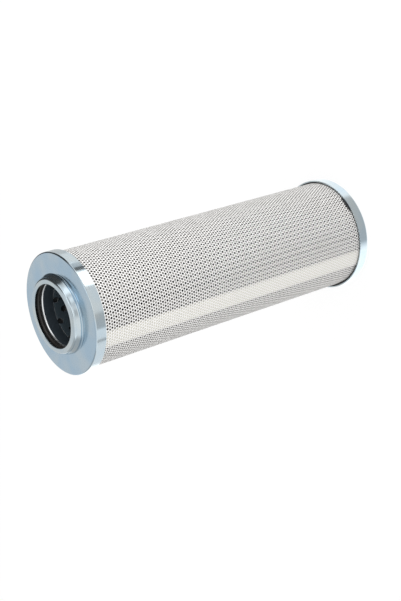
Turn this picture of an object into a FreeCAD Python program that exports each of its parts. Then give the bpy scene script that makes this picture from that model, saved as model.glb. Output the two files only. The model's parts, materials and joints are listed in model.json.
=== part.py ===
import FreeCAD, Part

import math
import os

# Pleated hydraulic filter element, standing on its closed end cap with the open neck up.
# Z is the element's axis and z = 0 is the closed cap's outer face. Millimetres and degrees.

# End caps, pressed from steel sheet
cap_diameter = 97.5
cap_sheet = 1.0
cap_inner_bend = 0.3
body_length = 285.0
open_skirt = 8.5
closed_skirt = 9.4

# Neck, drawn from the open cap's own sheet, with a lip turned in over the seal
bore_diameter = 50.6
neck_foot_step = 1.55
neck_foot_height = 1.9
neck_cone_height = 2.8
neck_foot_fillet = 0.9
neck_foot_round = 0.8
neck_shoulder = 1.4
lip_thickness = 1.1
lip_round = 0.4

# Seat ring under the seal, a flange on a short sleeve
seat_flange_top = 1.0
seat_flange_thickness = 1.2
seat_round = 0.5
seat_sleeve_wall = 0.8
seat_sleeve_depth = 9.5

# O-ring in the neck
seal_section = 3.7
seal_play = 1.9

# Perforated core tube
core_sheet = 1.0
core_ledge = 0.5
core_hole = 5.0
core_holes_per_ring = 9
core_rings = 5

# Potting compound that holds the pack in each cap
potting_recess = 1.2
potting_rim_width = 1.0
potting_rim_height = 3.2

# Pleated filter pack
mesh_thickness = 0.2
mat_thickness = 0.6
tip_flat = 1.1
root_play = 0.15
pleat_gap_angle = -96.9
wide_pleat_angle = -102.5
wide_pleat_spread = 7.0
wide_pleat_share = 0.26

# Perforated outer wrap, rolled from one sheet with a glued lap
wrap_sheet = 0.5
wrap_glue = 0.15
lap_width = 15.0
lap_outer_edge_angle = -137.0
wrap_hole = 7.0
wrap_columns = 12
wrap_rings = 10

# The coarse holes of the core tube and the wrap are polygons
hole_sides = 6

# Fits and clearances
seal_clearance = 0.05
sleeve_to_pack = 0.2
pack_to_wrap = 0.15
wrap_to_potting = 0.05
flange_to_neck = 0.2
glue_to_wrap = 0.02

# Sizes that follow from the ones above
cap_bend = cap_sheet + cap_inner_bend
cap_radius = cap_diameter / 2
cap_inner_radius = cap_radius - cap_sheet
bore_radius = bore_diameter / 2
neck_radius = bore_radius + seal_clearance + seal_section + cap_sheet
neck_height = seat_flange_top + seal_section + seal_play + lip_thickness
neck_foot_radius = neck_radius + neck_foot_step
neck_foot_inner_radius = neck_foot_radius - cap_sheet
neck_cone_top = neck_foot_height + neck_cone_height
cap_underside = body_length - cap_sheet
flange_top = body_length + seat_flange_top
flange_underside = flange_top - seat_flange_thickness
flange_radius = neck_foot_inner_radius - flange_to_neck
sleeve_radius = bore_radius + seat_sleeve_wall
sleeve_bottom = body_length - seat_sleeve_depth
core_inner_radius = bore_radius - core_ledge
core_outer_radius = core_inner_radius + core_sheet
seal_radius = seal_section / 2
seal_centre_radius = bore_radius + seal_clearance + seal_radius
seal_centre_height = flange_top + seal_clearance + seal_radius
potting_rim_top = closed_skirt - potting_recess
potting_rim_bottom = body_length - open_skirt + potting_recess
pack_bottom = potting_rim_top - potting_rim_height
pack_top = potting_rim_bottom + potting_rim_height
pack_height = pack_top - pack_bottom
potting_lip_radius = cap_inner_radius - potting_rim_width
wrap_radius = potting_lip_radius - wrap_to_potting
wrap_pitch = wrap_sheet + wrap_glue
wrap_least_radius = wrap_radius - wrap_pitch - wrap_sheet
lap_angle = math.degrees(lap_width / wrap_radius)
lap_inner_edge_angle = lap_outer_edge_angle + lap_angle
pack_thickness = mat_thickness + 2 * mesh_thickness
pack_inner_radius = sleeve_radius + sleeve_to_pack
pack_outer_radius = wrap_least_radius - pack_to_wrap
root_radius = pack_inner_radius + pack_thickness / 2
tip_radius = pack_outer_radius - pack_thickness / 2
pleat_count = int(2 * math.pi * root_radius / (2 * pack_thickness + root_play))


def unit(angle):
    """Direction in the XY plane at an angle in degrees."""
    turn = math.radians(angle)
    return FreeCAD.Vector(math.cos(turn), math.sin(turn), 0)


def rounded_section(corners):
    """Closed wire in the XZ plane through (radius, height, rounding) corners."""
    points = [FreeCAD.Vector(radius, 0, height) for radius, height, _ in corners]
    count = len(points)
    ends = []
    arcs = []
    for index, (_, _, rounding) in enumerate(corners):
        corner = points[index]
        back = (points[index - 1] - corner).normalize()
        ahead = (points[(index + 1) % count] - corner).normalize()
        if rounding == 0:
            ends.append((corner, corner))
            arcs.append(None)
            continue
        half = back.getAngle(ahead) / 2
        reach = rounding / math.tan(half)
        centre = corner + (back + ahead).normalize() * (rounding / math.sin(half))
        middle = centre + (corner - centre).normalize() * rounding
        start = corner + back * reach
        end = corner + ahead * reach
        ends.append((start, end))
        arcs.append(Part.Arc(start, middle, end).toShape())
    edges = []
    for index in range(count):
        if arcs[index]:
            edges.append(arcs[index])
        start = ends[index][1]
        end = ends[(index + 1) % count][0]
        edges.append(Part.LineSegment(start, end).toShape())
    return Part.Wire(edges)


def turned(corners):
    """Solid of revolution about the element's axis."""
    face = Part.Face(rounded_section(corners))
    return face.revolve(FreeCAD.Vector(0, 0, 0), FreeCAD.Vector(0, 0, 1), 360)


def make_open_end_cap():
    """Skirt, flat face and stepped neck, all one pressing."""
    top = body_length
    inner_wall = neck_radius - cap_sheet
    lip_underside = top + neck_height - lip_thickness
    return turned([
        (cap_radius, top - open_skirt, 0),
        (cap_radius, top, cap_bend),
        (neck_foot_radius, top, neck_foot_fillet),
        (neck_foot_radius, top + neck_foot_height, neck_foot_round),
        (neck_radius, top + neck_cone_top, 0),
        (neck_radius, top + neck_height, neck_shoulder),
        (bore_radius, top + neck_height, lip_round),
        (bore_radius, lip_underside, 0),
        (inner_wall, lip_underside, 0),
        (inner_wall, top + neck_cone_top - cap_sheet / 2, 0),
        (neck_foot_inner_radius, top + neck_foot_height - cap_sheet / 2, 0),
        (neck_foot_inner_radius, cap_underside, 0),
        (cap_inner_radius, cap_underside, cap_bend - cap_sheet),
        (cap_inner_radius, top - open_skirt, 0),
    ])


def make_closed_end_cap():
    """Plain pressed cup that the element stands on."""
    return turned([
        (0, 0, 0),
        (cap_radius, 0, cap_bend),
        (cap_radius, closed_skirt, 0),
        (cap_inner_radius, closed_skirt, 0),
        (cap_inner_radius, cap_sheet, cap_bend - cap_sheet),
        (0, cap_sheet, 0),
    ])


def make_seal_seat_ring():
    """Flange that the O-ring sits on, with the sleeve that guides the spigot."""
    return turned([
        (bore_radius, sleeve_bottom, 0),
        (sleeve_radius, sleeve_bottom, 0),
        (sleeve_radius, flange_underside, 0),
        (flange_radius, flange_underside, 0),
        (flange_radius, flange_top, 0),
        (bore_radius, flange_top, seat_round),
    ])


def make_neck_o_ring():
    """Round-section seal behind the lip, drawn as it lies on a fitted spigot."""
    centre = FreeCAD.Vector(0, 0, seal_centre_height)
    return Part.makeTorus(seal_centre_radius, seal_radius, centre)


def radial_punch(width, angle, height):
    """Punch of a polygon section, from the axis outwards past every wall."""
    step = 360 / hole_sides
    corners = []
    for index in range(hole_sides + 1):
        turn = math.radians((index + 0.5) * step)
        corners.append(FreeCAD.Vector(0, math.cos(turn) * width / 2, math.sin(turn) * width / 2))
    punch = Part.Face(Part.makePolygon(corners)).extrude(FreeCAD.Vector(cap_radius, 0, 0))
    punch.rotate(FreeCAD.Vector(0, 0, 0), FreeCAD.Vector(0, 0, 1), angle)
    punch.translate(FreeCAD.Vector(0, 0, height))
    return punch


def make_core_tube():
    """Steel tube with staggered rings of holes, from the closed cap to the seat ring."""
    length = sleeve_bottom - cap_sheet
    base = FreeCAD.Vector(0, 0, cap_sheet)
    tube = Part.makeCylinder(core_outer_radius, length, base)
    tube = tube.cut(Part.makeCylinder(core_inner_radius, length, base))
    ring_pitch = length / core_rings
    column_angle = 360 / core_holes_per_ring
    punches = []
    for ring in range(core_rings):
        height = cap_sheet + (ring + 0.5) * ring_pitch
        stagger = 0.5 * (ring % 2)
        for column in range(core_holes_per_ring):
            angle = (column + stagger) * column_angle
            punches.append(radial_punch(core_hole, angle, height))
    return tube.cut(punches)


def make_lower_potting():
    """Ring of set compound in the closed cap, with a raised rim round the wrap."""
    return turned([
        (core_outer_radius, cap_sheet, 0),
        (cap_inner_radius, cap_sheet, cap_bend - cap_sheet),
        (cap_inner_radius, potting_rim_top, 0),
        (potting_lip_radius, potting_rim_top, 0),
        (potting_lip_radius, pack_bottom, 0),
        (core_outer_radius, pack_bottom, 0),
    ])


def make_upper_potting():
    """Ring of set compound under the open cap, up to the seat ring's flange."""
    return turned([
        (sleeve_radius, pack_top, 0),
        (potting_lip_radius, pack_top, 0),
        (potting_lip_radius, potting_rim_bottom, 0),
        (cap_inner_radius, potting_rim_bottom, 0),
        (cap_inner_radius, cap_underside, cap_bend - cap_sheet),
        (flange_radius, cap_underside, 0),
        (flange_radius, flange_underside, 0),
        (sleeve_radius, flange_underside, 0),
    ])


def pleat_gap_angles():
    """Angles of the inward folds, a little wider apart on one side of the pack."""
    even = 360 / pleat_count
    shares = []
    for index in range(pleat_count):
        away = pleat_gap_angle + index * even - wide_pleat_angle
        away = (away + 180) % 360 - 180
        shares.append(1 + wide_pleat_share * math.exp(-(away / wide_pleat_spread) ** 2))
    total = sum(shares)
    angles = [pleat_gap_angle]
    for share in shares[:-1]:
        angles.append(angles[-1] + 360 * share / total)
    return angles


def pleat_line():
    """Middle line of the pleated sheet, with a short flat at each fold."""
    root_flat = math.pi * root_radius / pleat_count
    gaps = pleat_gap_angles()
    points = []
    for index, gap in enumerate(gaps):
        following = gaps[index + 1] if index + 1 < pleat_count else gaps[0] + 360
        folds = ((gap, root_radius, root_flat), ((gap + following) / 2, tip_radius, tip_flat))
        for angle, radius, flat in folds:
            along = unit(angle + 90) * (flat / 2)
            middle = unit(angle) * radius
            points.append(middle - along)
            points.append(middle + along)
    return points


def offset_line(points, distance):
    """Closed wire beside a line of points, each corner mitred."""
    count = len(points)
    shifted = []
    for index, corner in enumerate(points):
        before = (corner - points[index - 1]).normalize()
        after = (points[(index + 1) % count] - corner).normalize()
        side_before = FreeCAD.Vector(before.y, -before.x, 0)
        side_after = FreeCAD.Vector(after.y, -after.x, 0)
        mitre = side_before + side_after
        shifted.append(corner + mitre * (2 * distance / mitre.dot(mitre)))
    return Part.makePolygon(shifted + shifted[:1])


def pleated_layer(inner_offset, outer_offset):
    """One layer of the pack, between two offsets from the middle line."""
    line = pleat_line()
    outer = Part.Face(offset_line(line, outer_offset))
    inner = Part.Face(offset_line(line, inner_offset))
    layer = outer.cut(inner).extrude(FreeCAD.Vector(0, 0, pack_height))
    layer.translate(FreeCAD.Vector(0, 0, pack_bottom))
    return layer


def spiral_arc(centre_offset, radius, start_angle, end_angle):
    """Arc about a centre a little off the axis, on the line through the lap's inner edge."""
    centre = unit(lap_inner_edge_angle) * centre_offset
    middle_angle = (start_angle + end_angle) / 2
    ends = [centre + unit(angle) * radius for angle in (start_angle, middle_angle, end_angle)]
    return Part.Arc(*ends)


def rolled_side(radius):
    """One side of the rolled sheet, as arcs about two centres that grow by the roll's pitch."""
    start = lap_inner_edge_angle
    shift = wrap_pitch / 4
    return [
        spiral_arc(-shift, radius + shift, start, start - 180),
        spiral_arc(shift, radius + 3 * shift, start - 180, start - 360),
        spiral_arc(-shift, radius + 5 * shift, start - 360, start - 360 - lap_angle),
    ]


def make_outer_wrap():
    """Sheet rolled once round with its ends lapped, punched with a coarse run of holes."""
    outer = rolled_side(wrap_radius - wrap_pitch)
    inner = rolled_side(wrap_radius - wrap_pitch - wrap_sheet)
    ends = [
        Part.LineSegment(inner[0].StartPoint, outer[0].StartPoint),
        Part.LineSegment(outer[-1].EndPoint, inner[-1].EndPoint),
    ]
    edges = [piece.toShape() for piece in outer + inner + ends]
    outline = Part.Wire(Part.__sortEdges__(edges))
    sheet = Part.Face(outline).extrude(FreeCAD.Vector(0, 0, pack_height))
    sheet.translate(FreeCAD.Vector(0, 0, pack_bottom))
    ring_pitch = pack_height / wrap_rings
    column_angle = (360 - lap_angle) / wrap_columns
    punches = []
    for ring in range(wrap_rings):
        height = pack_bottom + (ring + 0.5) * ring_pitch
        shift = 0.25 if ring % 2 else 0.75
        for column in range(wrap_columns):
            angle = lap_inner_edge_angle + (column + shift) * column_angle
            punches.append(radial_punch(wrap_hole, angle, height))
    return sheet.cut(punches)


def make_wrap_seam_glue():
    """Thin strip of glue between the lapped ends of the wrap."""
    start = lap_inner_edge_angle
    end = lap_outer_edge_angle
    shift = wrap_pitch / 4
    sheet_face = wrap_radius - wrap_pitch + shift
    inner = spiral_arc(-shift, sheet_face + glue_to_wrap, start, end)
    outer = spiral_arc(-shift, sheet_face + wrap_glue - glue_to_wrap, start, end)
    edges = [
        inner.toShape(),
        Part.LineSegment(inner.EndPoint, outer.EndPoint).toShape(),
        outer.toShape(),
        Part.LineSegment(outer.StartPoint, inner.StartPoint).toShape(),
    ]
    strip = Part.Face(Part.Wire(Part.__sortEdges__(edges)))
    strip = strip.extrude(FreeCAD.Vector(0, 0, pack_height))
    strip.translate(FreeCAD.Vector(0, 0, pack_bottom))
    return strip


pieces = {
    "open_end_cap": make_open_end_cap(),
    "closed_end_cap": make_closed_end_cap(),
    "seal_seat_ring": make_seal_seat_ring(),
    "neck_o_ring": make_neck_o_ring(),
    "core_tube": make_core_tube(),
    "inner_support_mesh": pleated_layer(-pack_thickness / 2, -mat_thickness / 2),
    "filter_mat": pleated_layer(-mat_thickness / 2, mat_thickness / 2),
    "outer_support_mesh": pleated_layer(mat_thickness / 2, pack_thickness / 2),
    "outer_wrap": make_outer_wrap(),
    "wrap_seam_glue": make_wrap_seam_glue(),
    "upper_potting": make_upper_potting(),
    "lower_potting": make_lower_potting(),
}

os.makedirs("parts", exist_ok=True)
for name, shape in pieces.items():
    solid = shape.Solids[0]
    print(name, "solids", len(shape.Solids), "valid", solid.isValid(), "volume", round(solid.Volume, 1))
    solid.exportStep("parts/" + name + ".step")
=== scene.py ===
import json
import math

import bmesh
import bpy
from bpy.props import FloatProperty, FloatVectorProperty, IntProperty, PointerProperty
from mathutils import Matrix, Vector


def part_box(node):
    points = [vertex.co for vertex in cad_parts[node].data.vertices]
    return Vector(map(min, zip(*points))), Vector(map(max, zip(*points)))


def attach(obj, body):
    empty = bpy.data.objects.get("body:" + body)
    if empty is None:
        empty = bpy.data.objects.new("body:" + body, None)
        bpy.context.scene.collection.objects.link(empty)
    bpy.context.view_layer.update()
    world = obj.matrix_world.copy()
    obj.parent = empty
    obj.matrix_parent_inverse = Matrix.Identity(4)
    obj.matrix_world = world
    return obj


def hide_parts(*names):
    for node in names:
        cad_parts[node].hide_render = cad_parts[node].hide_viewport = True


bl_info = {
    "name": "Hydraulic Filter Element",
    "version": (1, 0, 0),
    "blender": (4, 5, 0),
    "location": "View3D > Sidebar > Filter",
    "description": "Builds the looks of a pleated filter element on its packed frame",
    "category": "Add Mesh",
}

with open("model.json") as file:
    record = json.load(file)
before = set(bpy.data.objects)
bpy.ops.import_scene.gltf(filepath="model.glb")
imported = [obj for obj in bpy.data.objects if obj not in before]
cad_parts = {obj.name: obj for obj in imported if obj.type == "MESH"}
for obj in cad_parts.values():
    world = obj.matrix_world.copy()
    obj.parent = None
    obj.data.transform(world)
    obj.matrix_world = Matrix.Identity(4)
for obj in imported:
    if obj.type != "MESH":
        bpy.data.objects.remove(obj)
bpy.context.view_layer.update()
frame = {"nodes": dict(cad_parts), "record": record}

MM = 0.001
BODY = "root"
ORIGIN = Vector((0, 0, 0))
Z_AXIS = Vector((0, 0, 1))

# Angle past which two faces meet in a hard edge
HARD_EDGE = math.radians(40)
# Points nearer to each other than this become one point
SAME_POINT = 0.002 * MM
# A point nearer than this to where a sheet is trimmed counts as lying on the cut
CUT_PLAY = 0.0005 * MM

# Roundings of the pressed caps
CUT_EDGE = 0.12 * MM
FOOT_FILLET = 0.9 * MM
FOOT_ROUND = 1.2 * MM
CONE_FILLET = 0.8 * MM
SHOULDER = 2.3 * MM
LIP_ROUND = 0.6 * MM
LIP_EDGE = 0.2 * MM

# Roundings of the seat ring, widest where it shines in the bore
SEAT_ROUND = 1.8 * MM
SLEEVE_ROUND = 0.3 * MM
RING_EDGE = 0.1 * MM

# Roughness of the zinc plate on the caps and on the polished seat ring
PLATE_ROUGHNESS = 0.16
RING_ROUGHNESS = 0.2

# Dark beads between wrap and closed cap, in the potting's finish: angle in degrees and half the length
BEADS = ((-66, 8.0 * MM), (-170, 4.0 * MM))
# How far the beads' middle lies below the skirt's edge
BEAD_DEPTH = 0.4 * MM

# Soft boxes: where each stands, what they all face, and the width of a square one
KEY_PLACE = (0.5, -2.0, 0.4)
KEY_WIDTH = 1.5
LEFT_PLACE = (-1.6, -0.5, 0.3)
RIGHT_PLACE = (1.6, -0.5, 0.3)
SIDE_WIDTH = 1.0
LAMP_AIM = (0, 0, 0.12)

# Brightness of the white room where the metal mirrors no soft box or flag
ROOM_LEVEL = 0.76
# Share of the floor that glows for the camera, and how brightly, so that it shows white
FLOOR_GLOW_SHARE = 0.85
FLOOR_GLOW = 1.06


def span(node):
    """Outer radius, lowest and highest point of a round node of the frame."""
    low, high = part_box(node)
    return high.x, low.z, high.z


def mount_radius(name):
    """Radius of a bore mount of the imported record."""
    for mount in frame["record"]["mounts"]:
        if mount["name"] == name:
            return mount["dims"]["r_mm"] * MM
    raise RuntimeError(f"the record has no mount named {name}")


CAP_RADIUS, OPEN_SKIRT_END, NECK_TOP = span("open_end_cap")
CLOSED_SKIRT_END = span("closed_end_cap")[2]
FLANGE_RADIUS, SLEEVE_END, FLANGE_TOP = span("seal_seat_ring")
SEAL_RADIUS, SEAL_LOW, SEAL_HIGH = span("neck_o_ring")
CORE_RADIUS, CORE_LOW, CORE_HIGH = span("core_tube")
WRAP_LOW, WRAP_HIGH = span("outer_wrap")[1:]
CAP_UNDERSIDE = span("upper_potting")[2]
BORE_RADIUS = mount_radius("spigot_bore")


def linear(hex_colour):
    """Linear colour with alpha of an sRGB hex value."""
    channels = []
    for start in (1, 3, 5):
        value = int(hex_colour[start:start + 2], 16) / 255
        channels.append(value / 12.92 if value <= 0.04045 else ((value + 0.055) / 1.055) ** 2.4)
    return (*channels, 1)


class CapSettings(bpy.types.PropertyGroup):
    sheet: FloatProperty(
        name="Sheet", description="Thickness of the pressed steel", default=1.0 * MM, unit="LENGTH"
    )
    bend: FloatProperty(
        name="Bend", description="Outer radius between face and skirt", default=1.3 * MM, unit="LENGTH"
    )
    foot_height: FloatProperty(
        name="Foot height", description="Height of the neck's wide foot", default=1.9 * MM, unit="LENGTH"
    )
    cone_height: FloatProperty(
        name="Cone height", description="Height of the cone above the foot", default=2.8 * MM, unit="LENGTH"
    )
    foot_gap: FloatProperty(
        name="Foot gap", description="Gap between seat flange and neck wall", default=0.2 * MM,
        unit="LENGTH",
    )
    lip: FloatProperty(
        name="Lip", description="Thickness of the lip over the seal", default=1.1 * MM, unit="LENGTH"
    )
    steps: IntProperty(name="Steps", description="Faces round each turned piece", default=144, min=24)
    zinc: FloatVectorProperty(
        name="Zinc", description="Light tone of the zinc plate", subtype="COLOR", size=4,
        default=linear("#d0dadd"),
    )
    zinc_blue: FloatVectorProperty(
        name="Blue zinc", description="Blue tone of the flat faces", subtype="COLOR", size=4,
        default=linear("#b2cbde"),
    )


class WrapSettings(bpy.types.PropertyGroup):
    radius: FloatProperty(
        name="Radius", description="Outside of the lap", default=46.7 * MM, unit="LENGTH"
    )
    sheet: FloatProperty(
        name="Sheet", description="Thickness of the wrap", default=0.5 * MM, unit="LENGTH"
    )
    glue: FloatProperty(
        name="Glue", description="Gap between the lapped ends", default=0.15 * MM, unit="LENGTH"
    )
    # The real holes are 1.5 mm across, and are drawn wider so that they show dark from a step away
    hole: FloatProperty(
        name="Hole", description="Diameter of a punched hole, as drawn", default=2.05 * MM, unit="LENGTH"
    )
    hole_sides: IntProperty(name="Hole sides", description="Corners of a punched hole", default=8, min=3)
    columns: IntProperty(name="Columns", description="Holes round one turn", default=117, min=20)
    lap: FloatProperty(name="Lap", description="Width of the lap", default=15.0 * MM, unit="LENGTH")
    edge_angle: FloatProperty(
        name="Free edge", description="Where the outer end lies", default=math.radians(-137),
        unit="ROTATION",
    )
    hole_angle: FloatProperty(
        name="Hole angle", description="Angle of one hole", default=math.radians(-96.53),
        unit="ROTATION",
    )
    hole_height: FloatProperty(
        name="Hole height", description="Height of the same hole", default=271.85 * MM, unit="LENGTH"
    )
    coating: FloatVectorProperty(
        name="Coating", description="White of the sheet", subtype="COLOR", size=4,
        default=linear("#f8f7f6"),
    )


class PackSettings(bpy.types.PropertyGroup):
    tips: FloatVectorProperty(
        name="Tips", description="Mesh at the tips of the pleats", subtype="COLOR", size=4,
        default=linear("#d0cec9"),
    )
    # Colour of the painted shade on the mesh down the pleats' flanks and in the gaps
    painted_gap_shade: FloatVectorProperty(
        name="Gaps", description="Mesh down in the gaps", subtype="COLOR", size=4,
        default=linear("#050505"),
    )
    # Below this depth under a crest, the mesh takes the painted shade
    tip_depth: FloatProperty(
        name="Tip depth", description="How far down a tip stays light", default=0.05 * MM, unit="LENGTH"
    )


class StageSettings(bpy.types.PropertyGroup):
    lens: FloatProperty(
        name="Lens", description="Focal length in millimetres", default=71.476, unit="CAMERA"
    )
    eye: FloatVectorProperty(
        name="Eye", description="Where the camera stands", subtype="XYZ", default=(0, -0.80335, 0.72370)
    )
    aim: FloatVectorProperty(
        name="Aim", description="Point in the picture's middle", subtype="XYZ",
        default=(-0.02299, -0.00066, 0.15709),
    )
    roll: FloatProperty(
        name="Roll", description="Turn of the camera that lays the element down",
        default=math.radians(-107.92), unit="ROTATION",
    )


def add_node(tree, kind, settings=None, links=None):
    """Adds a node, with attributes and inputs set by name and inputs linked from other outputs."""
    node = tree.nodes.new(kind)
    for key, value in (settings or {}).items():
        if isinstance(key, int) or key in node.inputs:
            node.inputs[key].default_value = value
        else:
            setattr(node, key, value)
    for key, output in (links or {}).items():
        tree.links.new(output, node.inputs[key])
    return node


def new_material(name):
    """Material with an empty node tree."""
    material = bpy.data.materials.new(name)
    material.use_nodes = True
    material.node_tree.nodes.clear()
    return material, material.node_tree


def finish_material(tree, settings, links):
    """Ends a tree in a Principled shader."""
    shader = add_node(tree, "ShaderNodeBsdfPrincipled", settings, links)
    add_node(tree, "ShaderNodeOutputMaterial", {}, {"Surface": shader.outputs[0]})


def zinc_plate(name, pale, blue, roughness, flat):
    """Passivated zinc on pressed sheet: a soft mirror with clouds in its tint, bluer on the flat face,
    which lies at the height flat."""
    material, tree = new_material(name)
    place = add_node(tree, "ShaderNodeTexCoord").outputs["Object"]
    clouds = add_node(
        tree, "ShaderNodeTexNoise", {"Scale": 1 / (19 * MM), "Detail": 2.0, "Roughness": 0.5},
        {"Vector": place},
    )
    cloud_share = add_node(
        tree, "ShaderNodeMapRange", {"From Min": 0.35, "From Max": 0.65, "To Max": 0.5},
        {"Value": clouds.outputs["Fac"]},
    )
    height = add_node(tree, "ShaderNodeSeparateXYZ", {}, {0: place}).outputs["Z"]
    on_flat = add_node(
        tree, "ShaderNodeMath", {"operation": "COMPARE", 1: flat, 2: 0.6 * MM}, {0: height}
    )
    side_share = add_node(
        tree, "ShaderNodeMapRange", {"To Min": 0.5, "To Max": 0.0}, {"Value": on_flat.outputs[0]}
    )
    pale_share = add_node(
        tree, "ShaderNodeMath", {"operation": "ADD"},
        {0: cloud_share.outputs[0], 1: side_share.outputs[0]},
    )
    tint = add_node(
        tree, "ShaderNodeMix", {"data_type": "RGBA", 6: blue, 7: pale}, {0: pale_share.outputs[0]}
    )
    rough = add_node(
        tree, "ShaderNodeMapRange",
        {"From Max": 0.5, "To Min": roughness - 0.03, "To Max": roughness + 0.04},
        {"Value": cloud_share.outputs[0]},
    )
    waves = add_node(tree, "ShaderNodeTexNoise", {"Scale": 1 / (9 * MM), "Detail": 0.0}, {"Vector": place})
    bump = add_node(
        tree, "ShaderNodeBump", {"Strength": 1.0, "Distance": 0.014 * MM}, {"Height": waves.outputs["Fac"]}
    )
    finish_material(
        tree, {"Metallic": 1.0},
        {"Base Color": tint.outputs[2], "Roughness": rough.outputs[0], "Normal": bump.outputs[0]},
    )
    return material


def plain_finish(name, pale, deep, roughness, cloud, grain, bump_depth, metallic=0.0):
    """Two close tones in clouds, over a fine bump; cloud and grain are the sizes of the two patterns."""
    material, tree = new_material(name)
    place = add_node(tree, "ShaderNodeTexCoord").outputs["Object"]
    clouds = add_node(
        tree, "ShaderNodeTexNoise", {"Scale": 1 / cloud, "Detail": 4.0, "Roughness": 0.6}, {"Vector": place}
    )
    specks = add_node(tree, "ShaderNodeTexNoise", {"Scale": 1 / grain, "Detail": 2.0}, {"Vector": place})
    tint = add_node(
        tree, "ShaderNodeMix", {"data_type": "RGBA", 6: deep, 7: pale}, {0: clouds.outputs["Fac"]}
    )
    bump = add_node(
        tree, "ShaderNodeBump", {"Strength": 0.3, "Distance": bump_depth}, {"Height": specks.outputs["Fac"]}
    )
    finish_material(
        tree, {"Roughness": roughness, "Metallic": metallic},
        {"Base Color": tint.outputs[2], "Normal": bump.outputs[0]},
    )
    return material


def nitrile_rubber():
    """Moulded nitrile rubber: near black with a dull sheen."""
    pale, deep = linear("#34312f"), linear("#211f1e")
    return plain_finish(
        "nitrile_rubber", pale, deep, roughness=0.42, cloud=6 * MM, grain=0.5 * MM, bump_depth=0.03 * MM
    )


def sleeve_steel_painted_shade():
    """Drawn sleeve inside the neck, duller than the plate outside and painted darker as the shade deep in
    the bore.
    """
    pale, deep = linear("#56616a"), linear("#434e57")
    return plain_finish(
        "sleeve_steel_painted_shade", pale, deep, roughness=0.5, cloud=9 * MM, grain=0.6 * MM,
        bump_depth=0.03 * MM, metallic=0.5,
    )


def dull_core_steel():
    """Perforated tube in bare rolled sheet, dark deep in the bore."""
    pale, deep = linear("#7f919c"), linear("#65757f")
    return plain_finish(
        "dull_core_steel", pale, deep, roughness=0.45, cloud=9 * MM, grain=0.6 * MM,
        bump_depth=0.03 * MM, metallic=0.5,
    )


def core_edge_painted_glint():
    """Sheared edge of the core's holes, bare bright steel painted lighter still so that it shows as a
    glint.
    """
    pale, deep = linear("#e4e6e6"), linear("#d2d5d6")
    return plain_finish(
        "core_edge_painted_glint", pale, deep, roughness=0.3, cloud=5 * MM, grain=0.6 * MM,
        bump_depth=0.03 * MM, metallic=0.7,
    )


def coated_wrap(coating):
    """White coated sheet, matt, with faint clouds."""
    shade = [channel * 0.95 for channel in coating[:3]] + [1]
    return plain_finish(
        "coated_wrap", coating, shade, roughness=0.55, cloud=22 * MM, grain=0.4 * MM, bump_depth=0.02 * MM
    )


def punched_edge_painted_shade():
    """Bare edge of the sheet inside a punched hole, greyer than its coating, and also painted dark as shade
    in the holes.
    """
    pale, deep = linear("#b6b4b0"), linear("#a6a4a0")
    return plain_finish(
        "punched_edge_painted_shade", pale, deep, roughness=0.6, cloud=5 * MM, grain=0.4 * MM, bump_depth=0.02 * MM
    )


def set_glue():
    """Set cream glue, pressed up in the holes of the lap."""
    pale, deep = linear("#e2e0d6"), linear("#d8d6cb")
    return plain_finish(
        "set_glue", pale, deep, roughness=0.5, cloud=5 * MM, grain=0.6 * MM, bump_depth=0.05 * MM
    )


def mesh_wire_painted_shade(pack, tip_radius):
    """Coated woven wire, pale at the crest of each pleat, with painted shade dark down its flanks and
    in the gaps. The weave is too fine to show, so it is drawn as blotches 2 mm wide."""
    material, tree = new_material("mesh_wire_painted_shade")
    place = add_node(tree, "ShaderNodeTexCoord").outputs["Object"]
    across = add_node(
        tree, "ShaderNodeVectorMath", {"operation": "MULTIPLY", 1: (1, 1, 0)}, {0: place}
    )
    radius = add_node(tree, "ShaderNodeVectorMath", {"operation": "LENGTH"}, {0: across.outputs[0]})
    # Painted shade: only the crest of each pleat keeps the pale tips colour, and the mesh below it is
    # painted dark
    unshaded_share = add_node(
        tree, "ShaderNodeMapRange", {"From Min": tip_radius - pack.tip_depth, "From Max": tip_radius},
        {"Value": radius.outputs["Value"]},
    )
    blotches = add_node(
        tree, "ShaderNodeTexNoise", {"Scale": 1 / (2 * MM), "Detail": 2.0}, {"Vector": place}
    )
    weave = add_node(
        tree, "ShaderNodeMapRange", {"From Min": 0.3, "From Max": 0.5, "To Min": 0.75},
        {"Value": blotches.outputs["Fac"]},
    )
    share = add_node(
        tree, "ShaderNodeMath", {"operation": "MULTIPLY"}, {0: unshaded_share.outputs[0], 1: weave.outputs[0]}
    )
    tint = add_node(
        tree, "ShaderNodeMix", {"data_type": "RGBA", 6: pack.painted_gap_shade, 7: pack.tips}, {0: share.outputs[0]}
    )
    finish_material(tree, {"Roughness": 0.6}, {"Base Color": tint.outputs[2]})
    return material


def inner_wire_painted_shade():
    """Bare woven wire on the clean side, painted dark grey as the shade behind the core's holes."""
    pale, deep = linear("#404244"), linear("#303234")
    return plain_finish(
        "inner_wire_painted_shade", pale, deep, roughness=0.5, cloud=3 * MM, grain=0.6 * MM,
        bump_depth=0.1 * MM, metallic=0.4,
    )


def glass_fibre():
    """Glass-fibre mat between fleeces, off-white and soft."""
    pale, deep = linear("#e2dfd2"), linear("#cfcbbd")
    return plain_finish(
        "glass_fibre", pale, deep, roughness=0.9, cloud=4 * MM, grain=0.3 * MM, bump_depth=0.1 * MM
    )


def cast_potting():
    """Dark cast resin with a slight gloss and an uneven top."""
    pale, deep = linear("#25282b"), linear("#17191b")
    return plain_finish(
        "cast_potting", pale, deep, roughness=0.35, cloud=6 * MM, grain=1.5 * MM, bump_depth=0.2 * MM
    )


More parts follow.
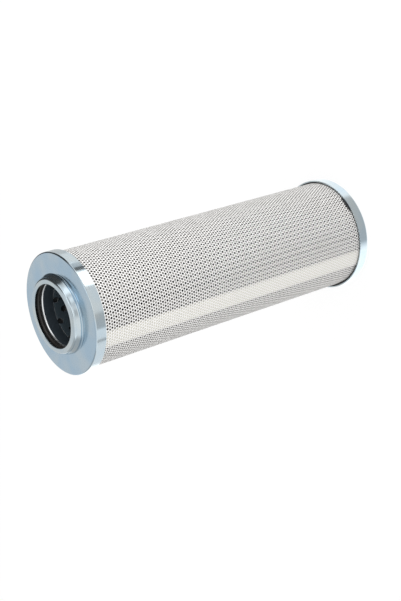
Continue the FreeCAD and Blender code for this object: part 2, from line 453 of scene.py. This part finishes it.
def new_piece(name, bm, material, node):
    """Turns a bmesh into a piece that rides on the frame and stands for one of its nodes, or for none."""
    mesh = bpy.data.meshes.new(name)
    bm.to_mesh(mesh)
    bm.free()
    mesh.shade_smooth()
    mesh.set_sharp_from_angle(angle=HARD_EDGE)
    mesh.materials.append(material)
    piece = bpy.data.objects.new(name, mesh)
    bpy.context.scene.collection.objects.link(piece)
    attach(piece, BODY)
    if node:
        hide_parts(node)
    return piece


def even_shading(piece):
    """Lets wide flat faces keep their own normal beside narrow rounded ones."""
    weighted = piece.modifiers.new("even_shading", "WEIGHTED_NORMAL")
    weighted.keep_sharp = True
    weighted.weight = 100


def turned_shell(corners, steps, round_segments=5):
    """Shell of revolution from a section of (radius, height, rounding) corners."""
    bm = bmesh.new()
    points = [Vector((radius, 0, height)) for radius, height, _ in corners]
    verts = [bm.verts.new(point) for point in points]
    bm.faces.new(verts)
    for index, (_, _, rounding) in enumerate(corners):
        if rounding == 0:
            continue
        back = points[index - 1] - points[index]
        ahead = points[(index + 1) % len(points)] - points[index]
        reach = rounding / math.tan(back.angle(ahead) / 2)
        bmesh.ops.bevel(
            bm, geom=[verts[index]], affect="VERTICES", offset=reach, offset_type="OFFSET",
            segments=round_segments, profile=0.5, material=-1, clamp_overlap=True,
        )
    bmesh.ops.delete(bm, geom=bm.faces[:], context="FACES_ONLY")
    bmesh.ops.spin(
        bm, geom=bm.verts[:] + bm.edges[:], cent=ORIGIN, axis=Z_AXIS, dvec=ORIGIN,
        angle=math.tau, steps=steps, use_merge=True,
    )
    bmesh.ops.remove_doubles(bm, verts=bm.verts[:], dist=SAME_POINT)
    bmesh.ops.recalc_face_normals(bm, faces=bm.faces[:])
    return bm


def lattice_cell(pitch, row_height, hole_radius, hole_sides, filled):
    """One slanted cell of a staggered hole pattern, flat in XY, with the hole open or filled."""
    bm = bmesh.new()
    bmesh.ops.create_circle(bm, cap_ends=True, radius=hole_radius, segments=hole_sides)
    plug = bm.faces[:]
    edges = bm.edges[:]
    half = row_height / 2
    # The cell is a pitch wide and leans by half a pitch, as each row is staggered to the next
    corners = [
        bm.verts.new((-0.75 * pitch, -half, 0)),
        bm.verts.new((0.25 * pitch, -half, 0)),
        bm.verts.new((0.75 * pitch, half, 0)),
        bm.verts.new((-0.25 * pitch, half, 0)),
    ]
    for index, corner in enumerate(corners):
        edges.append(bm.edges.new((corners[index - 1], corner)))
    bmesh.ops.triangle_fill(bm, edges=edges, use_beauty=True, normal=Z_AXIS)
    if not filled:
        bmesh.ops.delete(bm, geom=plug, context="FACES_ONLY")
    return bm


def repeat(bm, step, count):
    """Repeats all of a bmesh along a step, so that it is there count times."""
    first = bm.verts[:] + bm.edges[:] + bm.faces[:]
    for index in range(1, count):
        copy = bmesh.ops.duplicate(bm, geom=first)
        verts = [item for item in copy["geom"] if isinstance(item, bmesh.types.BMVert)]
        bmesh.ops.translate(bm, verts=verts, vec=step * index)


def lattice(pitch, row_height, hole_radius, hole_sides, columns, row_pairs, filled=False):
    """Flat staggered hole pattern whose first hole is at the origin, and whose rows run along X. It is
    made a little too large, and then trimmed to the sheet."""
    bm = lattice_cell(pitch, row_height, hole_radius, hole_sides, filled)
    repeat(bm, Vector((-pitch / 2, row_height, 0)), 2)
    repeat(bm, Vector((pitch, 0, 0)), columns)
    repeat(bm, Vector((0, 2 * row_height, 0)), row_pairs)
    bmesh.ops.remove_doubles(bm, verts=bm.verts[:], dist=SAME_POINT)
    return bm


def trim(bm, axis, low, high):
    """Cuts a flat sheet off square outside low and high along an axis."""
    for limit, side in ((low, -1), (high, 1)):
        normal = Vector((0, 0, 0))
        normal[axis] = side
        place = Vector((0, 0, 0))
        place[axis] = limit
        geom = bm.verts[:] + bm.edges[:] + bm.faces[:]
        bmesh.ops.bisect_plane(
            bm, geom=geom, dist=CUT_PLAY, plane_co=place, plane_no=normal, clear_outer=True
        )


def thicken(bm, thickness):
    """Gives a flat sheet its thickness, towards +Z, with its edges in the second material."""
    grown = bmesh.ops.extrude_face_region(bm, geom=bm.faces[:])
    verts = [item for item in grown["geom"] if isinstance(item, bmesh.types.BMVert)]
    bmesh.ops.translate(bm, verts=verts, vec=(0, 0, thickness))
    bmesh.ops.recalc_face_normals(bm, faces=bm.faces[:])
    for face in bm.faces:
        face.material_index = int(abs(face.normal.z) < 0.5)


def place_round(radius, angle, height):
    """Point at a radius, angle and height."""
    return Vector((radius * math.cos(angle), radius * math.sin(angle), height))


def build_open_cap(cap, material):
    """Skirt, flat face and stepped neck with its turned-in lip."""
    face = CAP_UNDERSIDE + cap.sheet
    neck = SEAL_RADIUS + cap.sheet
    foot = FLANGE_RADIUS + cap.foot_gap + cap.sheet
    cone_top = face + cap.foot_height + cap.cone_height
    inside = cap.bend - cap.sheet
    shell = turned_shell([
        (CAP_RADIUS, OPEN_SKIRT_END, CUT_EDGE),
        (CAP_RADIUS, face, cap.bend),
        (foot, face, FOOT_FILLET),
        (foot, face + cap.foot_height, FOOT_ROUND),
        (neck, cone_top, CONE_FILLET),
        (neck, NECK_TOP, SHOULDER),
        (BORE_RADIUS, NECK_TOP, LIP_ROUND),
        (BORE_RADIUS, NECK_TOP - cap.lip, LIP_EDGE),
        (neck - cap.sheet, NECK_TOP - cap.lip, 0),
        (neck - cap.sheet, cone_top - cap.sheet / 2, 0),
        (foot - cap.sheet, face + cap.foot_height - cap.sheet / 2, 0),
        (foot - cap.sheet, CAP_UNDERSIDE, 0),
        (CAP_RADIUS - cap.sheet, CAP_UNDERSIDE, inside),
        (CAP_RADIUS - cap.sheet, OPEN_SKIRT_END, CUT_EDGE),
    ], cap.steps)
    even_shading(new_piece("open_cap_pressing", shell, material, "open_end_cap"))


def build_closed_cap(cap, material):
    """Plain pressed cup that the element stands on."""
    inside = cap.bend - cap.sheet
    shell = turned_shell([
        (0, 0, 0),
        (CAP_RADIUS, 0, cap.bend),
        (CAP_RADIUS, CLOSED_SKIRT_END, CUT_EDGE),
        (CAP_RADIUS - cap.sheet, CLOSED_SKIRT_END, CUT_EDGE),
        (CAP_RADIUS - cap.sheet, cap.sheet, inside),
        (0, cap.sheet, 0),
    ], cap.steps)
    even_shading(new_piece("closed_cap_pressing", shell, material, "closed_end_cap"))


class FILTER_OT_end_caps(bpy.types.Operator):
    """Build both pressed end caps"""

    bl_idname = "filter.end_caps"
    bl_label = "End caps"

    def execute(self, context):
        cap = context.scene.filter_cap
        face = CAP_UNDERSIDE + cap.sheet
        open_zinc = zinc_plate("open_cap_zinc", cap.zinc, cap.zinc_blue, PLATE_ROUGHNESS, face)
        build_open_cap(cap, open_zinc)
        closed_zinc = zinc_plate("closed_cap_zinc", cap.zinc, cap.zinc_blue, PLATE_ROUGHNESS, 0.0)
        build_closed_cap(cap, closed_zinc)
        return {"FINISHED"}


class FILTER_OT_neck_seal(bpy.types.Operator):
    """Build the seat ring and the O-ring in the neck"""

    bl_idname = "filter.neck_seal"
    bl_label = "Neck seal"

    sleeve_wall: FloatProperty(
        name="Sleeve wall", description="Thickness of the sleeve in the bore", default=0.8 * MM,
        unit="LENGTH",
    )
    flange: FloatProperty(
        name="Flange", description="Thickness of the flange under the seal", default=1.2 * MM,
        unit="LENGTH",
    )
    seal_sides: IntProperty(
        name="Seal sides", description="Faces round the O-ring's section", default=24, min=8
    )

    def execute(self, context):
        steps = context.scene.filter_cap.steps
        sleeve = BORE_RADIUS + self.sleeve_wall
        under = FLANGE_TOP - self.flange
        ring = turned_shell([
            (BORE_RADIUS, SLEEVE_END, SLEEVE_ROUND),
            (sleeve, SLEEVE_END, RING_EDGE),
            (sleeve, under, 0),
            (FLANGE_RADIUS, under, 0),
            (FLANGE_RADIUS, FLANGE_TOP, RING_EDGE),
            (BORE_RADIUS, FLANGE_TOP, SEAT_ROUND),
        ], steps)
        pale, blue = linear("#f6f7f8"), linear("#eef2f4")
        bright = zinc_plate("bright_zinc_ring", pale, blue, RING_ROUGHNESS, FLANGE_TOP)
        turned = new_piece("seat_ring_turned", ring, bright, "seal_seat_ring")
        # Faces below the flange take the sleeve steel painted dark as shade deep in the bore; those above
        # stay bright zinc
        turned.data.materials.append(sleeve_steel_painted_shade())
        for face in turned.data.polygons:
            face.material_index = int(face.center.z < under)
        even_shading(turned)
        seal = bmesh.new()
        thick = (SEAL_HIGH - SEAL_LOW) / 2
        centre = Vector((SEAL_RADIUS - thick, 0, (SEAL_LOW + SEAL_HIGH) / 2))
        stand = Matrix.Translation(centre) @ Matrix.Rotation(math.pi / 2, 4, "X")
        bmesh.ops.create_circle(
            seal, cap_ends=False, radius=thick, segments=self.seal_sides, matrix=stand
        )
        bmesh.ops.spin(
            seal, geom=seal.verts[:] + seal.edges[:], cent=ORIGIN, axis=Z_AXIS, dvec=ORIGIN,
            angle=math.tau, steps=steps, use_merge=True,
        )
        bmesh.ops.recalc_face_normals(seal, faces=seal.faces[:])
        new_piece("o_ring_moulded", seal, nitrile_rubber(), "neck_o_ring")
        return {"FINISHED"}


class FILTER_OT_core_tube(bpy.types.Operator):
    """Build the perforated core tube"""

    bl_idname = "filter.core_tube"
    bl_label = "Core tube"

    sheet: FloatProperty(
        name="Sheet", description="Thickness of the tube", default=1.0 * MM, unit="LENGTH"
    )
    hole: FloatProperty(
        name="Hole", description="Diameter of a hole", default=5.0 * MM, unit="LENGTH"
    )
    hole_sides: IntProperty(name="Hole sides", description="Corners of a hole", default=16, min=3)
    holes: IntProperty(name="Holes per ring", description="Holes round the tube", default=9, min=3)
    ring_pitch: FloatProperty(
        name="Ring pitch", description="Way from ring to ring", default=6.0 * MM, unit="LENGTH"
    )
    first_ring: FloatProperty(
        name="First ring", description="How far below the cap's face the first ring lies",
        default=12.2 * MM, unit="LENGTH",
    )
    first_angle: FloatProperty(
        name="First hole", description="Angle of one hole of the first ring",
        default=math.radians(62), unit="ROTATION",
    )
    facets: IntProperty(name="Facets", description="Flats round the tube", default=72, min=24)

    def execute(self, context):
        circumference = math.tau * CORE_RADIUS
        pitch = circumference / self.holes
        face = CAP_UNDERSIDE + context.scene.filter_cap.sheet
        top_row = face - self.first_ring
        row_pairs = math.ceil((top_row - CORE_LOW) / (2 * self.ring_pitch)) + 1
        columns = self.holes + 3
        bm = lattice(pitch, self.ring_pitch, self.hole / 2, self.hole_sides, columns, row_pairs)
        lowest = top_row - 2 * self.ring_pitch * (row_pairs - 1)
        bmesh.ops.translate(bm, verts=bm.verts[:], vec=Vector((-pitch, lowest, 0)))
        trim(bm, 0, 0, circumference)
        trim(bm, 1, CORE_LOW, CORE_HIGH)
        for index in range(1, self.facets):
            geom = bm.verts[:] + bm.edges[:] + bm.faces[:]
            place = Vector((circumference * index / self.facets, 0, 0))
            bmesh.ops.bisect_plane(
                bm, geom=geom, dist=SAME_POINT, plane_co=place, plane_no=Vector((1, 0, 0))
            )
        thicken(bm, self.sheet)
        for vert in bm.verts:
            x, height, depth = vert.co
            radius = CORE_RADIUS - self.sheet + depth
            vert.co = place_round(radius, self.first_angle + x / CORE_RADIUS, height)
        bmesh.ops.remove_doubles(bm, verts=bm.verts[:], dist=SAME_POINT)
        tube = new_piece("core_tube_punched", bm, dull_core_steel(), "core_tube")
        # The holes' walls take the sheared-edge steel, painted light as a glint
        tube.data.materials.append(core_edge_painted_glint())
        return {"FINISHED"}


def wrap_radius_at(wrap, turned):
    """Outer radius of the rolled sheet after it has turned by an angle from its inner end."""
    pitch = wrap.sheet + wrap.glue
    half_turns = math.floor(turned / math.pi)
    rest = turned - half_turns * math.pi
    return wrap.radius - pitch + pitch / 4 * (2 * half_turns + 1 - math.cos(rest))


def inner_end_angle(wrap):
    """Angle where the sheet's inner end lies, under the lap."""
    return wrap.edge_angle + wrap.lap / wrap.radius


def roll(bm, wrap, lift=0.0):
    """Rolls a flat sheet on: x is the way from the inner end, y the height, z the depth in the sheet."""
    inner_end = inner_end_angle(wrap)
    for vert in bm.verts:
        x, height, depth = vert.co
        turned = x / wrap.radius
        radius = wrap_radius_at(wrap, turned) - wrap.sheet + depth + lift
        vert.co = place_round(radius, inner_end - turned, height)
    bmesh.ops.reverse_faces(bm, faces=bm.faces[:])


def hole_pattern(wrap):
    """Pitch and row height of the punched holes, the first column's place, and the rows and their top."""
    pitch = math.tau * wrap.radius / wrap.columns
    row_height = pitch * math.sqrt(3) / 2
    hole_x = ((inner_end_angle(wrap) - wrap.hole_angle) % math.tau) * wrap.radius
    first_x = hole_x % pitch - pitch
    rows = math.ceil((WRAP_HIGH - WRAP_LOW) / row_height) + 2
    rows_up = math.ceil((WRAP_HIGH - wrap.hole_height) / (2 * row_height)) * 2
    return pitch, row_height, first_x, rows, wrap.hole_height + rows_up * row_height


class FILTER_OT_outer_wrap(bpy.types.Operator):
    """Build the perforated wrap, in bands that are each rolled with the lap"""

    bl_idname = "filter.outer_wrap"
    bl_label = "Outer wrap"

    bands: IntProperty(
        name="Bands", description="Pieces that the sheet is built in, so that none is too heavy",
        default=4, min=1,
    )

    def execute(self, context):
        wrap = context.scene.filter_wrap
        pitch, row_height, first_x, rows, top_row = hole_pattern(wrap)
        length = math.tau * wrap.radius + wrap.lap
        columns = math.ceil(length / pitch) + 2
        pairs_per_band = math.ceil(rows / 2 / self.bands)
        flat = lattice(pitch, row_height, wrap.hole / 2, wrap.hole_sides, columns, pairs_per_band)
        bmesh.ops.translate(flat, verts=flat.verts[:], vec=Vector((first_x, 0, 0)))
        trim(flat, 0, 0, length)
        master = bpy.data.meshes.new("flat_band")
        flat.to_mesh(master)
        flat.free()
        coating = coated_wrap(wrap.coating)
        # The holes' walls take the bare edge's grey, which also paints shade into the holes
        edge = punched_edge_painted_shade()
        for band in range(self.bands):
            bm = bmesh.new()
            bm.from_mesh(master)
            lowest = top_row - 2 * row_height * pairs_per_band * (band + 1)
            bmesh.ops.translate(bm, verts=bm.verts[:], vec=Vector((0, lowest, 0)))
            trim(bm, 1, WRAP_LOW, WRAP_HIGH)
            thicken(bm, wrap.sheet)
            roll(bm, wrap)
            sheet = new_piece(f"wrap_band_{band + 1}", bm, coating, "outer_wrap")
            sheet.data.materials.append(edge)
        bpy.data.meshes.remove(master)
        return {"FINISHED"}


class FILTER_OT_seam_glue(bpy.types.Operator):
    """Build the glue in the lap, pressed up into the holes of the outer sheet"""

    bl_idname = "filter.seam_glue"
    bl_label = "Seam glue"

    dimple: FloatProperty(
        name="Dimple", description="How far the glue stays below the sheet's face",
        default=0.22 * MM, unit="LENGTH",
    )
    play: FloatProperty(
        name="Play", description="Gap to the sheets", default=0.02 * MM, unit="LENGTH"
    )

    def execute(self, context):
        wrap = context.scene.filter_wrap
        pitch, row_height, first_x, rows, top_row = hole_pattern(wrap)
        turn = math.tau * wrap.radius
        columns = math.ceil(wrap.lap / pitch) + 2
        row_pairs = math.ceil(rows / 2)
        hole_radius = wrap.hole / 2 - self.play
        bm = lattice(
            pitch, row_height, hole_radius, wrap.hole_sides, columns, row_pairs, filled=True
        )
        lowest = top_row - 2 * row_height * row_pairs
        bmesh.ops.translate(bm, verts=bm.verts[:], vec=Vector((turn + first_x, lowest, 0)))
        trim(bm, 0, turn, turn + wrap.lap)
        trim(bm, 1, WRAP_LOW, WRAP_HIGH)
        film = wrap.glue - 2 * self.play
        thicken(bm, film)
        plugs = [
            face for face in bm.faces
            if len(face.verts) == wrap.hole_sides and face.calc_center_median().z > film / 2
        ]
        grown = bmesh.ops.extrude_discrete_faces(bm, faces=plugs)
        tops = {vert for face in grown["faces"] for vert in face.verts}
        rise = wrap.sheet + self.play - self.dimple
        bmesh.ops.translate(bm, verts=list(tops), vec=Vector((0, 0, rise)))
        roll(bm, wrap, -film - self.play)
        new_piece("seam_glue_pressed", bm, set_glue(), "wrap_seam_glue")
        return {"FINISHED"}


class FILTER_OT_pleated_pack(bpy.types.Operator):
    """Finish the pleated layers and the potting of the frame"""

    bl_idname = "filter.pleated_pack"
    bl_label = "Pleated pack"

    def execute(self, context):
        tip_radius = span("outer_support_mesh")[0]
        potting = cast_potting()
        finishes = {
            "inner_support_mesh": inner_wire_painted_shade(),
            "filter_mat": glass_fibre(),
            "outer_support_mesh": mesh_wire_painted_shade(context.scene.filter_pack, tip_radius),
            "upper_potting": potting,
            "lower_potting": potting,
        }
        for node, material in finishes.items():
            mesh = frame["nodes"][node].data
            mesh.materials.clear()
            mesh.materials.append(material)
        return {"FINISHED"}


class FILTER_OT_dark_skirt_beads(bpy.types.Operator):
    """Build the dark beads between wrap and closed cap, in the potting's finish"""

    bl_idname = "filter.squeezed_potting"
    bl_label = "Dark skirt beads"

    play: FloatProperty(
        name="Play", description="Gap to wrap and skirt", default=0.05 * MM, unit="LENGTH"
    )
    height: FloatProperty(
        name="Height", description="Half the bead's height", default=2.2 * MM, unit="LENGTH"
    )

    def execute(self, context):
        inner = context.scene.filter_wrap.radius
        outer = CAP_RADIUS - context.scene.filter_cap.sheet
        middle = (inner + outer) / 2
        bm = bmesh.new()
        for angle, half_length in BEADS:
            size = Matrix.Diagonal((half_length, self.height, (outer - inner) / 2 - self.play, 1))
            bead = bmesh.ops.create_uvsphere(bm, u_segments=24, v_segments=12, radius=1, matrix=size)
            for vert in bead["verts"]:
                x, height, depth = vert.co
                turn = math.radians(angle) + x / middle
                vert.co = place_round(middle + depth, turn, CLOSED_SKIRT_END - BEAD_DEPTH + height)
        bmesh.ops.recalc_face_normals(bm, faces=bm.faces[:])
        new_piece("dark_beads_at_skirt", bm, cast_potting(), None)
        return {"FINISHED"}


def soft_box(name, place, width, power):
    """Square lamp that faces the element and that the metal doesn't mirror."""
    lamp = bpy.data.lights.new(name, "AREA")
    lamp.shape = "SQUARE"
    lamp.size = width
    lamp.energy = power
    box = bpy.data.objects.new(name, lamp)
    box.location = place
    box.rotation_mode = "QUATERNION"
    box.rotation_quaternion = (Vector(place) - Vector(LAMP_AIM)).to_track_quat("Z", "Y")
    box.visible_glossy = False
    bpy.context.scene.collection.objects.link(box)


def floor_finish():
    """Pale matt floor that shows white and keeps a faint shadow."""
    material, tree = new_material("pale_floor")
    path = add_node(tree, "ShaderNodeLightPath")
    share = add_node(
        tree, "ShaderNodeMath", {"operation": "MULTIPLY", 1: FLOOR_GLOW_SHARE},
        {0: path.outputs["Is Camera Ray"]},
    )
    matt = add_node(tree, "ShaderNodeBsdfDiffuse", {"Color": linear("#f2f2f2")})
    glow = add_node(tree, "ShaderNodeEmission", {"Strength": FLOOR_GLOW})
    mixed = add_node(
        tree, "ShaderNodeMixShader", {}, {0: share.outputs[0], 1: matt.outputs[0], 2: glow.outputs[0]}
    )
    add_node(tree, "ShaderNodeOutputMaterial", {}, {"Surface": mixed.outputs[0]})
    return material


def bearing(azimuth, elevation):
    """Direction at an azimuth and elevation in degrees."""
    rise = math.radians(elevation)
    return place_round(math.cos(rise), math.radians(azimuth), math.sin(rise))


# Soft boxes and dark flags that only the metal mirrors: azimuth and elevation, the reach at full
# strength and the reach where it ends, in degrees, and the brightness, where 1 is white. Where two
# lie over each other, the later one covers the earlier.
STUDIO = (
    (95, 38, 30, 60, 0.74),
    (-130, 2, 35, 50, 0.97),
    (10, -35, 45, 60, 1.25),
    (158, -35, 40, 55, 1.5),
    (-79, -35, 39, 43, 0.6),
    (158, 8, 24, 40, 0.5),
    (85, 66, 14, 24, 0.64),
    (-92, 10, 14, 21, 1.25),
    (36, 72, 12, 18, 0.88),
    (-5, 37, 12, 22, 0.1),
    (20, 10, 26, 40, 0.05),
    (58, 5, 15, 25, 0.05),
    (38, 32, 14, 23, 0.06),
    (-100, 38, 8, 17, 0.45),
    (-58, 38, 9, 15, 1.45),
    (-32, 9, 14, 20, 1.5),
    (-17, 5, 10, 18, 1.0),
)


def white_world(ambient):
    """World that is white to the camera, lights evenly, and shows the metal its soft boxes and flags."""
    world = bpy.data.worlds.new("white_studio")
    world.use_nodes = True
    tree = world.node_tree
    tree.nodes.clear()
    path = add_node(tree, "ShaderNodeLightPath")
    way = add_node(tree, "ShaderNodeTexCoord").outputs["Generated"]
    level = add_node(tree, "ShaderNodeValue")
    level.outputs[0].default_value = ROOM_LEVEL
    for azimuth, elevation, full, outer, brightness in STUDIO:
        nearness = add_node(
            tree, "ShaderNodeVectorMath", {"operation": "DOT_PRODUCT", 1: bearing(azimuth, elevation)},
            {0: way},
        )
        share = add_node(
            tree, "ShaderNodeMapRange",
            {"interpolation_type": "SMOOTHSTEP", "From Min": math.cos(math.radians(outer)),
             "From Max": math.cos(math.radians(full))},
            {"Value": nearness.outputs["Value"]},
        )
        level = add_node(
            tree, "ShaderNodeMix", {"data_type": "FLOAT", 3: brightness},
            {0: share.outputs[0], 2: level.outputs[0]},
        )
    mirrored = add_node(
        tree, "ShaderNodeMix", {"data_type": "FLOAT", 2: ambient},
        {0: path.outputs["Is Glossy Ray"], 3: level.outputs[0]},
    )
    strength = add_node(
        tree, "ShaderNodeMix", {"data_type": "FLOAT", 3: 1.0},
        {0: path.outputs["Is Camera Ray"], 2: mirrored.outputs[0]},
    )
    sky = add_node(tree, "ShaderNodeBackground", {"Color": (1, 1, 1, 1)}, {"Strength": strength.outputs[0]})
    add_node(tree, "ShaderNodeOutputWorld", {}, {"Surface": sky.outputs[0]})
    return world


def card_finish(brightness):
    """Card that shows the metal one even brightness."""
    material, tree = new_material("studio_card")
    glow = add_node(tree, "ShaderNodeEmission", {"Strength": brightness})
    add_node(tree, "ShaderNodeOutputMaterial", {}, {"Surface": glow.outputs[0]})
    return material


# Cards that the open cap's skirt mirrors: the angle where the card shows, the width it shows there,
# both in degrees, and its brightness
SKIRT_CARDS = (
    (-66, 13, 2.4),
    (-88.5, 25, 0.86),
    (-55, 4, 0.06),
    (-105.5, 13, 0.57),
    (-124, 2, 0.4),
    (-134, 38, 0.98),
    (-50, 5, 0.7),
    (-38, 14, 0.95),
    (-14, 32, 0.68),
)


def skirt_card(eye, angle, width, brightness, reach):
    """Card seen only by shiny surfaces, placed where the skirt mirrors it to the camera."""
    angle = math.radians(angle)
    middle = (OPEN_SKIRT_END + CAP_UNDERSIDE) / 2
    skirt = place_round(CAP_RADIUS, angle, middle)
    way = (skirt - eye).normalized().reflect(place_round(1, angle, 0))
    turn = way.to_track_quat("Z", "Y").to_matrix().to_4x4()
    size = Matrix.Diagonal(((2 * reach + CAP_RADIUS) * math.radians(width), reach / 2, 1, 1))
    stand = Matrix.Translation(skirt + way * reach) @ turn @ size
    bm = bmesh.new()
    bmesh.ops.create_grid(bm, x_segments=1, y_segments=1, size=0.5, matrix=stand)
    mesh = bpy.data.meshes.new("studio_card")
    bm.to_mesh(mesh)
    bm.free()
    mesh.materials.append(card_finish(brightness))
    card = bpy.data.objects.new("studio_card", mesh)
    bpy.context.scene.collection.objects.link(card)
    card.visible_camera = False
    card.visible_diffuse = False
    card.visible_shadow = False
    card.visible_transmission = False


class FILTER_OT_stage(bpy.types.Operator):
    """Set up the floor, the lamps, the world and the camera"""

    bl_idname = "filter.stage"
    bl_label = "Stage"

    floor_size: FloatProperty(
        name="Floor size", description="Width of the floor", default=6.0, unit="LENGTH"
    )
    ambient: FloatProperty(
        name="Ambient", description="How brightly the world lights matt surfaces", default=0.72
    )
    key_power: FloatProperty(
        name="Key power", description="Power of the box in front", default=17.0, unit="POWER"
    )
    left_power: FloatProperty(
        name="Left power", description="Power of the box towards -X", default=5.5, unit="POWER"
    )
    right_power: FloatProperty(
        name="Right power", description="Power of the box towards +X", default=11.0, unit="POWER"
    )
    card_reach: FloatProperty(
        name="Card reach", description="How far the cards stand from the skirt", default=0.16,
        unit="LENGTH",
    )

    def execute(self, context):
        scene = context.scene
        stage = scene.filter_stage
        bm = bmesh.new()
        bmesh.ops.create_grid(bm, x_segments=1, y_segments=1, size=self.floor_size / 2)
        mesh = bpy.data.meshes.new("floor")
        bm.to_mesh(mesh)
        bm.free()
        mesh.materials.append(floor_finish())
        floor = bpy.data.objects.new("floor", mesh)
        floor.visible_glossy = False
        scene.collection.objects.link(floor)
        scene.world = white_world(self.ambient)
        soft_box("key_box", KEY_PLACE, KEY_WIDTH, self.key_power)
        soft_box("left_box", LEFT_PLACE, SIDE_WIDTH, self.left_power)
        soft_box("right_box", RIGHT_PLACE, SIDE_WIDTH, self.right_power)
        eye = Vector(stage.eye)
        for angle, width, brightness in SKIRT_CARDS:
            skirt_card(eye, angle, width, brightness, self.card_reach)
        camera_data = bpy.data.cameras.new("camera")
        camera_data.lens = stage.lens
        camera_data.sensor_width = 36
        camera = bpy.data.objects.new("camera", camera_data)
        upright = (eye - Vector(stage.aim)).to_track_quat("Z", "Y").to_matrix().to_4x4()
        camera.matrix_world = Matrix.Translation(eye) @ upright @ Matrix.Rotation(stage.roll, 4, "Z")
        scene.collection.objects.link(camera)
        scene.camera = camera
        scene.view_settings.view_transform = "Standard"
        return {"FINISHED"}


OPERATORS = (
    FILTER_OT_end_caps,
    FILTER_OT_neck_seal,
    FILTER_OT_core_tube,
    FILTER_OT_outer_wrap,
    FILTER_OT_seam_glue,
    FILTER_OT_pleated_pack,
    FILTER_OT_dark_skirt_beads,
    FILTER_OT_stage,
)


class FILTER_PT_panel(bpy.types.Panel):
    """Lists the pieces of the filter element"""

    bl_idname = "FILTER_PT_panel"
    bl_label = "Filter element"
    bl_space_type = "VIEW_3D"
    bl_region_type = "UI"
    bl_category = "Filter"

    def draw(self, context):
        for operator in OPERATORS:
            self.layout.operator(operator.bl_idname)


SETTINGS = {
    "filter_cap": CapSettings,
    "filter_wrap": WrapSettings,
    "filter_pack": PackSettings,
    "filter_stage": StageSettings,
}
CLASSES = (*SETTINGS.values(), *OPERATORS, FILTER_PT_panel)


def register():
    for each in CLASSES:
        bpy.utils.register_class(each)
    for name, group in SETTINGS.items():
        setattr(bpy.types.Scene, name, PointerProperty(type=group))


def unregister():
    for name in SETTINGS:
        delattr(bpy.types.Scene, name)
    for each in reversed(CLASSES):
        bpy.utils.unregister_class(each)


def main():
    register()
    for operator in OPERATORS:
        group, name = operator.bl_idname.split(".")
        getattr(getattr(bpy.ops, group), name)()


if __name__ == "__main__":
    main()
